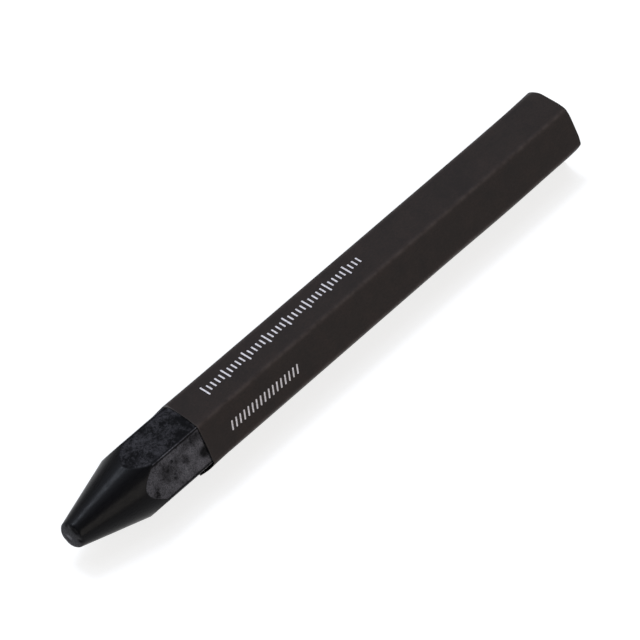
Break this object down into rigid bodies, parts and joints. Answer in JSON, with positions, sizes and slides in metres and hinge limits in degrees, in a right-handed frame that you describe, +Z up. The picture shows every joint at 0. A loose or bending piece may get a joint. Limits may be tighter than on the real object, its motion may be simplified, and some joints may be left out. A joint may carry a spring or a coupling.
{
  "type": "marking crayon",
  "caption": "Hexagonal black wax marking crayon with a coned, flat-ended tip, in a dark lapped paper sleeve that the stick slides through as it wears.",
  "frame": {"origin": "middle of the crayon's length and width, on the flat of the sleeve that it lies on", "axes": "+X along the stick from the marking tip to the back end, +Z up, +Y to the left seen from the tip"},
  "size_m": [0.12, 0.0136, 0.012],
  "materials": {
    "black_wax": "satin",
    "dark_paper": "matte",
    "dried_glue": "satin"
  },
  "bodies": {
    "sleeve": {"paper_sleeve": "dark_paper", "seam_glue": "dried_glue"},
    "stick": {"wax_stick": "black_wax"}
  },
  "joints": [
    {"name": "stick_feed", "type": "slide", "parent": "sleeve", "child": "stick", "axis": [-1, 0, 0], "range_m": [-0.026, 0.07]}
  ]
}
